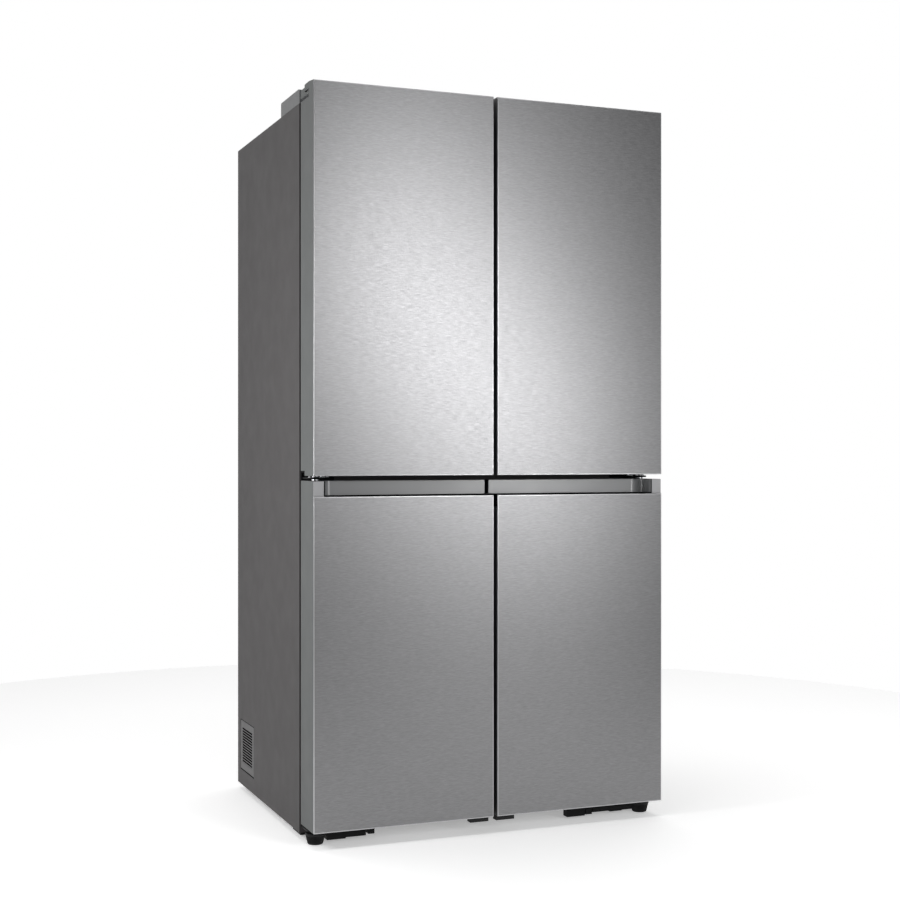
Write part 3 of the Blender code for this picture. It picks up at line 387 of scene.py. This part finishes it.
def lathe(shape, outline, centre, steps, axis="Z", ripple=0):
    """An outline of (radius, height) points turned about an axis; ripple cuts flutes by a third value."""
    about = {"X": "Y", "Y": "X"}
    turn = Matrix.Rotation(math.pi / 2, 4, about[axis]) if axis in about else Matrix()
    move = Matrix.Translation(centre) @ turn
    rings = []
    for point in outline:
        radius, height = point[0], point[1]
        depth = point[2] if len(point) > 2 else 0.0
        ring = []
        for step in range(steps):
            turned = 2 * math.pi * step / steps
            here = radius - (depth if ripple and step % ripple == 0 else 0.0)
            spot = Vector((here * math.cos(turned), here * math.sin(turned), height))
            ring.append(shape.verts.new(move @ spot))
        rings.append(ring)
    faces = []
    for low, high in zip(rings, rings[1:]):
        for k in range(steps):
            n = (k + 1) % steps
            faces.append(shape.faces.new((low[k], low[n], high[n], high[k])))
    faces += [shape.faces.new(rings[0]), shape.faces.new(rings[-1])]
    bmesh.ops.recalc_face_normals(shape, faces=faces)


def screw(name, body, slot, place, axis, facing, radius=0.0045, look=None):
    """A flanged hexagon screw head standing on a face."""
    shape = bmesh.new()
    flange = [(radius * 1.35, 0.0), (radius * 1.35, 0.0006), (radius * 1.1, 0.0011)]
    lathe(shape, [(r, h * facing) for r, h in flange], place, 24, axis)
    head = [(radius, 0.0008), (radius, 0.0027), (radius * 0.82, 0.0033)]
    lathe(shape, [(r, h * facing) for r, h in head], place, 6, axis)
    return publish(new_object(name, shape, [look or LOOKS["zinc_steel"]]), body, slot)


def tube(name, body, slot, points, radius, look):
    """A bent pipe through points, with rounded bends."""
    curve = bpy.data.curves.new(name, "CURVE")
    curve.dimensions = "3D"
    curve.bevel_depth = radius
    curve.bevel_resolution = 3
    curve.use_fill_caps = True
    line = curve.splines.new("BEZIER")
    line.bezier_points.add(len(points) - 1)
    for spot, place in zip(line.bezier_points, points):
        spot.co = place
        spot.handle_left_type = "AUTO"
        spot.handle_right_type = "AUTO"
    drawn = bpy.data.objects.new(name, curve)
    bpy.context.scene.collection.objects.link(drawn)
    bpy.context.view_layer.update()
    mesh = bpy.data.meshes.new_from_object(drawn.evaluated_get(bpy.context.evaluated_depsgraph_get()))
    bpy.data.objects.remove(drawn, do_unlink=True)
    shape = bmesh.new()
    shape.from_mesh(mesh)
    bmesh.ops.remove_doubles(shape, verts=shape.verts, dist=1e-6)
    return publish(new_object(name, shape, [look]), body, slot)


# ---------------------------------------------------------------- doors

def door_names():
    """The four doors as (name, sign of the side)."""
    return [("%s_%s_door" % (level, side), sign) for level in LEVELS for side, sign in SIDES]


RECESS_DEPTH = 0.029
GREY, WHITE, CAPPED, GRIP_BLOCK, BLACK, GAP_SHADE_EDGE = range(6)


def door_bodies():
    """Grey sheet sides, darker end caps, a white inner liner, lighter blocks beside the grips, and the edges
    at the centre gap darkened as painted shade.
    """
    looks = [LOOKS["door_grey"], LOOKS["liner_white"], CAP, END_BLOCK, LOOKS["black_plastic"],
             LOOKS["flap_plastic"]]
    for door, sign in door_names():
        rear = limits(door + "_gasket")[0][1] - 0.0003
        hinge_side = sign * cad_box[1][0]

        def pick(place, normal, rear=rear, hinge_side=hinge_side):
            within = abs(place.x) > 0.012 and abs(hinge_side - place.x) > 0.030
            recessed = within and place.y > max(rear - RECESS_DEPTH, FRONT_PLANE + 0.06)
            if place.y > rear - 0.0005 or (recessed and abs(normal.z) < 0.99):
                return WHITE
            if place.z < DOOR_FOOT - 0.0002:
                return BLACK
            # Edges facing the centre gap take the darker flap grey: painted shade in the gap.
            if abs(place.x) < 0.008:
                return GAP_SHADE_EDGE
            if normal.y < -0.9:
                return GRIP_BLOCK
            return CAPPED if abs(normal.z) > 0.7 else GREY

        from_node(door + "_body", bevel=0.0012, materials=looks, pick=pick)


def door_fronts():
    """Brushed fronts whose rounded rims and a thin border of the front face take a lighter steel, as a
    painted highlight.
    """
    for door, _ in door_names():
        from_node(door + "_front", bevel=0.0, materials=[LOOKS["stainless"], HIGHLIGHT_STEEL],
                  pick=lambda place, normal: int(abs(normal.y) < 0.98), rim=0.0013)


GRIP_WALL = 0.0032
GRIP_MOUTH = 0.0325


def door_grips():
    """Grip trays: light inside, with their front wall and their inner end painted near-black where they show
    in the gaps, as painted shade.
    """
    for side, sign in SIDES:
        node = "lower_%s_door_grip" % side
        low, high = limits(node)

        # Front wall faces and faces at the centre take the near-black: painted shade in the gaps.
        def pick(place, normal, front=low[1] + 0.0005):
            return int((normal.y < -0.9 and place.y < front) or abs(place.x) < 0.006)

        from_node(node, bevel=0.0006, materials=[LOOKS["grip_plastic"], SHADE_AND_JOINT_BLACK], pick=pick)
        near, far = sorted((sign * 0.0053, sign * 0.0063))
        # A near-black block at the tray's inner end: painted shade where the end shows in the centre gap.
        shape = bmesh.new()
        block(shape, (near, low[1] + GRIP_WALL, low[2] + GRIP_WALL),
              (far, high[1] - GRIP_WALL, high[2] - GRIP_MOUTH))
        publish(new_object(node + "_painted_shade_end", shape, [SHADE_AND_JOINT_BLACK]), NODE_BODY[node], "grip_plastic")


def gaskets():
    """Folded rubber bellows round the back of each door."""
    for door, _ in door_names():
        node = door + "_gasket"
        low, high = limits(node)
        back, front = low[1], high[1]
        inner = [(0.012, back), (0.012, back + 0.002), (0.0105, back + 0.0035), (0.0135, back + 0.0055),
                 (0.0105, back + 0.0075), (0.0135, front - 0.003), (0.0138, front)]
        outer = [(0.0004, front), (0.0005, front - 0.003), (0.0035, back + 0.0075), (0.0005, back + 0.0055),
                 (0.0035, back + 0.0035), (0.002, back + 0.002)]
        shape = bmesh.new()
        swept_frame(shape, (low[0], low[2]), (high[0], high[2]), [(0.002, back)] + inner + outer,
                    lambda u, v, w: (u, w, v))
        piece = new_object(node + "_bellows", shape, [LOOKS["seal_rubber"]])
        publish(piece, NODE_BODY[node], "seal_rubber", [node])


# ---------------------------------------------------------------- cabinet

VENT_SLATS = 13


def side_vent():
    """The grille low in the left side: a rounded border, slanted slats, a dark joint, and near-black slat
    faces inside the slots with a near-black sheet behind them as painted shade.
    """
    low, high = limits("side_vent")
    shape = bmesh.new()
    outside, inside = low[0], high[0]
    rim = 0.020
    outline = [(0.0018, outside + 0.0012), (0.0030, outside), (rim, outside),
               (rim + 0.0008, outside + 0.0008), (rim + 0.0008, inside), (0.0018, inside)]
    swept_frame(shape, (low[1], low[2]), (high[1], high[2]), outline, lambda u, v, w: (w, u, v))
    bottom, top = low[2] + rim + 0.0008, high[2] - rim - 0.0008
    pitch = (top - bottom) / VENT_SLATS
    for index in range(VENT_SLATS):
        start = bottom + pitch * index
        slat = [(outside + 0.0002, start + pitch * 0.08), (outside + 0.0002, start + pitch * 0.44),
                (inside, start + pitch * 0.40), (inside, start + pitch * 0.16)]
        extruded(shape, slat, low[1] + rim - 0.001, high[1] - rim + 0.001, lambda u, v, w: (u, w, v))
    piece = new_object("side_vent_grille", shape, [LOOKS["vent_plastic"], SHADE_AND_JOINT_BLACK])
    # Slat faces inside the slots are painted near-black: painted shade.
    for face in piece.data.polygons:
        shaded_slot_face = face.normal.x > -0.3 and low[1] + rim < face.center.y < high[1] - rim
        face.material_index = 1 if shaded_slot_face and bottom < face.center.z < top else 0
    publish(piece, "cabinet", "vent_plastic", ["side_vent"])
    # A near-black sheet behind the slats: painted shade seen through the slots.
    shape = bmesh.new()
    block(shape, (inside + 0.0002, low[1] + 0.001, low[2] + 0.001),
          (inside + 0.0010, high[1] - 0.001, high[2] - 0.001))
    publish(new_object("side_vent_shade_sheet", shape, [SHADE_AND_JOINT_BLACK]), "cabinet", "vent_plastic")
    shape = bmesh.new()
    ring = [(0.0, outside + 0.0010), (0.0017, outside + 0.0010), (0.0017, inside), (0.0, inside)]
    swept_frame(shape, (low[1], low[2]), (high[1], high[2]), ring, lambda u, v, w: (w, u, v))
    publish(new_object("side_vent_seal", shape, [SHADE_AND_JOINT_BLACK]), "cabinet", "vent_plastic")


FOOT_FLUTE = 0.0016
FOOT_STEM = 0.0095


def feet():
    """Fluted cups on a plain stem."""
    for side, _ in SIDES:
        node = "foot_" + side
        low, high = limits(node)
        radius = (high[0] - low[0]) / 2
        centre = ((low[0] + high[0]) / 2, (low[1] + high[1]) / 2, 0.0)
        sole = [(radius - 0.0085, 0.0), (radius - 0.0065, 0.0008), (radius - 0.0055, 0.0025)]
        flutes = [(radius - 0.0045, 0.0060, FOOT_FLUTE), (radius - 0.0010, 0.0205, FOOT_FLUTE)]
        collar = [(radius - 0.0004, 0.0215), (radius, 0.0225), (radius, 0.0255), (radius - 0.0012, 0.0265)]
        stem = [(FOOT_STEM, 0.0268), (FOOT_STEM, high[2])]
        shape = bmesh.new()
        lathe(shape, sole + flutes + collar + stem, centre, 96, ripple=2)
        publish(new_object(node + "_ribbed", shape, [LOOKS["black_plastic"]]), node, "black_plastic", [node])


def shelves():
    """Glass plates with a moulded rail along the front."""
    for node in ("crisper_shelf", "middle_shelf", "top_shelf", "freezer_shelf", "flex_shelf"):
        front = limits(node)[0][1]
        from_node(node, bevel=0.0006, materials=[LOOKS["shelf_glass"], TRIM],
                  pick=lambda place, normal, front=front: int(place.y < front + 0.012))


def trays():
    """Clear trays, each with a moulded rail along the wall that faces the user."""
    for node, slot in sorted(NODE_SLOT.items()):
        if slot != "clear_plastic":
            continue
        from_node(node, bevel=0.0009)
        low, high = limits(node)
        shape = bmesh.new()
        hangs_on_door = "_bin_" in node
        near = high[1] - 0.0029 if hangs_on_door else low[1] + 0.0004
        far = high[1] - 0.0001 if hangs_on_door else low[1] + 0.0032
        block(shape, (low[0] + 0.006, near, high[2] - 0.022), (high[0] - 0.006, far, high[2] - 0.0005))
        publish(new_object(node + "_rail", shape, [TRIM]), NODE_BODY[node], slot)


def back_panel():
    """The rear sheet, with shallow pressed frames and beads."""
    low, high = limits("back_panel")
    face, rise = high[1] - 0.0009, high[1] - 0.0001
    shape = bmesh.new()
    block(shape, (low[0], low[1], low[2]), (high[0], face, high[2]))
    ridge = [(0.0, face), (0.0025, rise), (0.0075, rise), (0.010, face)]
    for inset in (0.030, 0.110):
        swept_frame(shape, (low[0] + inset, low[2] + inset), (high[0] - inset, high[2] - inset), ridge,
                    lambda u, v, w: (u, w, v))
    for row in range(1, 6):
        level = low[2] + (high[2] - low[2]) * row / 6
        bead = [(level - 0.005, face), (level - 0.0025, rise), (level + 0.0025, rise), (level + 0.005, face)]
        extruded(shape, bead, low[0] + 0.150, high[0] - 0.150, lambda u, v, w: (w, v, u))
    piece = new_object("back_sheet", shape, [LOOKS["cabinet_steel"]])
    publish(piece, "cabinet", "cabinet_steel", ["back_panel"])


def cover_screws():
    """Two rows of five screws on the machine compartment's cover."""
    low, high = limits("machine_cover")
    for row in (low[2] + 0.008, high[2] - 0.008):
        for k in range(5):
            across = low[0] + 0.016 + (high[0] - low[0] - 0.032) * k / 4
            place = (across, high[1] - 0.0034, row)
            screw("cover_screw_%d_%d" % (k, row * 1000), "cabinet", "cabinet_steel", place, "Y", -1, 0.0035)


def compressor_pipes():
    """The compressor's terminal box and its two bent copper pipes."""
    low, high = limits("compressor")
    middle = ((low[0] + high[0]) / 2, (low[1] + high[1]) / 2)
    radius = (high[0] - low[0]) / 2
    shape = bmesh.new()
    block(shape, (middle[0] - 0.030, middle[1] + radius - 0.012, 0.060),
          (middle[0] + 0.030, middle[1] + radius + 0.012, 0.115))
    publish(new_object("terminal_box", shape, [LOOKS["black_plastic"]]), "cabinet", "black_plastic")
    suction = [(radius * 0.7, 0.165), (radius + 0.030, 0.190),
               (radius + 0.055, 0.160), (radius + 0.060, 0.060)]
    discharge = [(radius * 0.8, 0.120), (radius + 0.020, 0.130),
                 (radius + 0.035, 0.100), (radius + 0.038, 0.050)]
    for name, route, aside, bore in (("suction_pipe", suction, 0.02, 0.0038),
                                     ("discharge_pipe", discharge, -0.03, 0.0030)):
        points = [(middle[0] + away, middle[1] + aside, height) for away, height in route]
        tube(name, "cabinet", "compressor_steel", points, bore, COPPER)


def inlet_pins():
    """Three flat pins in the mains inlet, the middle one a little higher."""
    low, high = limits("power_inlet")
    for k in (-1, 0, 1):
        x = (low[0] + high[0]) / 2 + 0.007 * k
        z = (low[2] + high[2]) / 2 + (0.002 if k == 0 else -0.001)
        shape = bmesh.new()
        block(shape, (x - 0.0010, high[1] - 0.024, z - 0.002), (x + 0.0010, high[1] - 0.008, z + 0.002))
        publish(new_object("inlet_pin_%d" % (k + 1), shape, [LOOKS["zinc_steel"]]), "cabinet", "zinc_steel")


BUSH_RADIUS = 0.0090
BUSH_LENGTH = 0.0034
PLATE_HALF = 0.0021
SCREW_RADIUS = 0.0034


def middle_hinge_details(side, sign):
    """Bright bushes above and below the middle hinge plate, and screw heads on it."""
    low, high = limits("middle_hinge_" + side)
    level = (low[2] + high[2]) / 2
    starts = (("lower", level - PLATE_HALF - BUSH_LENGTH), ("upper", level + PLATE_HALF))
    edge = BUSH_RADIUS - 0.0005
    outline = [(edge, 0.0), (BUSH_RADIUS, 0.0005), (BUSH_RADIUS, BUSH_LENGTH - 0.0005), (edge, BUSH_LENGTH)]
    for name, start in starts:
        shape = bmesh.new()
        lathe(shape, outline, (sign * HINGE_LINE, HINGE_DEPTH, start), 32)
        piece = new_object("middle_bush_%s_%s" % (name, side), shape, [LOOKS["zinc_steel"]])
        publish(piece, "cabinet", "zinc_steel")
    plate_top = level + 0.0020
    for k in range(3):
        place = (sign * (HINGE_LINE - 0.012 - 0.009 * k), HINGE_DEPTH - 0.009 + 0.012 * (k > 0), plate_top)
        screw("middle_screw_%d_%s" % (k, side), "cabinet", "zinc_steel", place, "Z", 1, SCREW_RADIUS)
    tip = (sign * (HINGE_LINE + 0.012), HINGE_DEPTH + 0.004, plate_top)
    screw("middle_tip_" + side, "cabinet", "zinc_steel", tip, "Z", 1, SCREW_RADIUS)


def bracket_bolts(side, sign):
    """Two bolts that hold the bottom hinge bracket to the base."""
    back = limits("bottom_hinge_" + side)[1][1]
    for k in range(2):
        place = (sign * (HINGE_LINE - 0.050 - 0.060 * k), back - 0.012, 0.0342)
        screw("bracket_bolt_%d_%s" % (k, side), "cabinet", "black_steel", place, "Z", 1, 0.005,
              LOOKS["black_steel"])


def hinge_details():
    for side, sign in SIDES:
        middle_hinge_details(side, sign)
        bracket_bolts(side, sign)


# How far each plain node's edges are softened, where it isn't the usual amount
USUAL_EDGE = 0.0008
EDGE = {
    "side_panel_left": 0.0005, "side_panel_right": 0.0005, "top_panel": 0.0005, "back_panel": 0.0004,
    "cross_mullion": 0.0004, "post_mullion": 0.0004, "hinge_cover_left": 0.003, "hinge_cover_right": 0.003,
    "machine_cover": 0.0, "duct_cover": 0.0, "condenser_fan": 0.0, "compressor": 0.0,
    "bottom_hinge_left": 0.0018, "bottom_hinge_right": 0.0018,
}


def plain_nodes():
    """Every CAD node that has no piece of its own yet gets softened edges."""
    done = {n for o in bpy.data.objects for n in o.get("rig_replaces", [])}
    for node in sorted(frame["nodes"]):
        if node not in done:
            from_node(node, bevel=EDGE.get(node, USUAL_EDGE))


# ---------------------------------------------------------------- studio

FLOOR_RADIUS = 2.4


def floor():
    """A pale round floor that glows a little, as paper lit from all round."""
    shape = bmesh.new()
    bmesh.ops.create_circle(shape, cap_ends=True, segments=96, radius=FLOOR_RADIUS,
                            matrix=Matrix.Translation((0.0, 0.3, 0)))
    look = Surface("floor_paper", (0.93, 0.93, 0.93), 0.85, Emission_Strength=0.36)
    look.shader.inputs["Emission Color"].default_value = (1.0, 1.0, 1.0, 1.0)
    look.vary_colour(look.noise(0.8, 2.0), 0.01)
    new_object("studio_floor", shape, [look.material])


def softbox(name, place, target, width, height, power, roll=0.0):
    """A rectangular light that faces its target, turned about its own axis by roll degrees."""
    light = bpy.data.lights.new(name, "AREA")
    light.shape = "RECTANGLE"
    light.size, light.size_y = width, height
    light.energy = power
    made = bpy.data.objects.new(name, light)
    bpy.context.scene.collection.objects.link(made)
    made.location = place
    made.rotation_mode = "QUATERNION"
    made.rotation_quaternion = (Vector(target) - Vector(place)).to_track_quat("-Z", "Y")
    made.rotation_quaternion @= Quaternion((0.0, 0.0, 1.0), math.radians(roll))


def surroundings():
    """A white world behind the object that falls off to grey in front of it."""
    world = bpy.data.worlds.new("studio")
    bpy.context.scene.world = world
    world.use_nodes = True
    tree = world.node_tree
    back = tree.nodes["Background"]
    back.inputs["Color"].default_value = (1.0, 1.0, 1.0, 1.0)
    place = tree.nodes.new("ShaderNodeTexCoord")
    parts = tree.nodes.new("ShaderNodeSeparateXYZ")
    tree.links.new(place.outputs["Generated"], parts.inputs["Vector"])
    ramp = tree.nodes.new("ShaderNodeMapRange")
    ramp.interpolation_type = "SMOOTHSTEP"
    ramp.inputs["From Min"].default_value = -0.1
    ramp.inputs["From Max"].default_value = 0.7
    ramp.inputs["To Min"].default_value = 0.145
    ramp.inputs["To Max"].default_value = 1.0
    tree.links.new(parts.outputs["Y"], ramp.inputs["Value"])
    tree.links.new(ramp.outputs["Result"], back.inputs["Strength"])


def studio():
    surroundings()
    bpy.context.scene.view_settings.view_transform = "Standard"
    floor()
    softbox("key", (1.22, -3.7, 1.44), (0.0, -0.36, 1.20), 0.42, 1.75, 44, 38)
    softbox("side_fill", (-1.5, -0.42, 1.05), (-0.456, -0.36, 1.02), 0.3, 0.6, 9)
    softbox("top", (0.0, -0.2, 4.2), (0.0, 0.0, 1.0), 3.0, 2.6, 60)


CAMERA_PLACE = (-1.4416, -3.6642, 0.9134)
CAMERA_YAW = math.radians(21.83)
CAMERA_LENS = 58.30
CAMERA_SHIFT_Y = -0.0079


def camera():
    """The camera that the object's proportions were read through."""
    data = bpy.data.cameras.new("camera")
    data.lens = CAMERA_LENS
    data.sensor_width = 36.0
    data.shift_y = CAMERA_SHIFT_Y
    made = bpy.data.objects.new("camera", data)
    bpy.context.scene.collection.objects.link(made)
    made.location = CAMERA_PLACE
    made.rotation_euler = (math.pi / 2, 0.0, -CAMERA_YAW)
    bpy.context.scene.camera = made


camera()
studio()
door_bodies()
door_fronts()
door_grips()
gaskets()
side_vent()
back_panel()
feet()
shelves()
trays()
cover_screws()
compressor_pipes()
inlet_pins()
hinge_details()
plain_nodes()
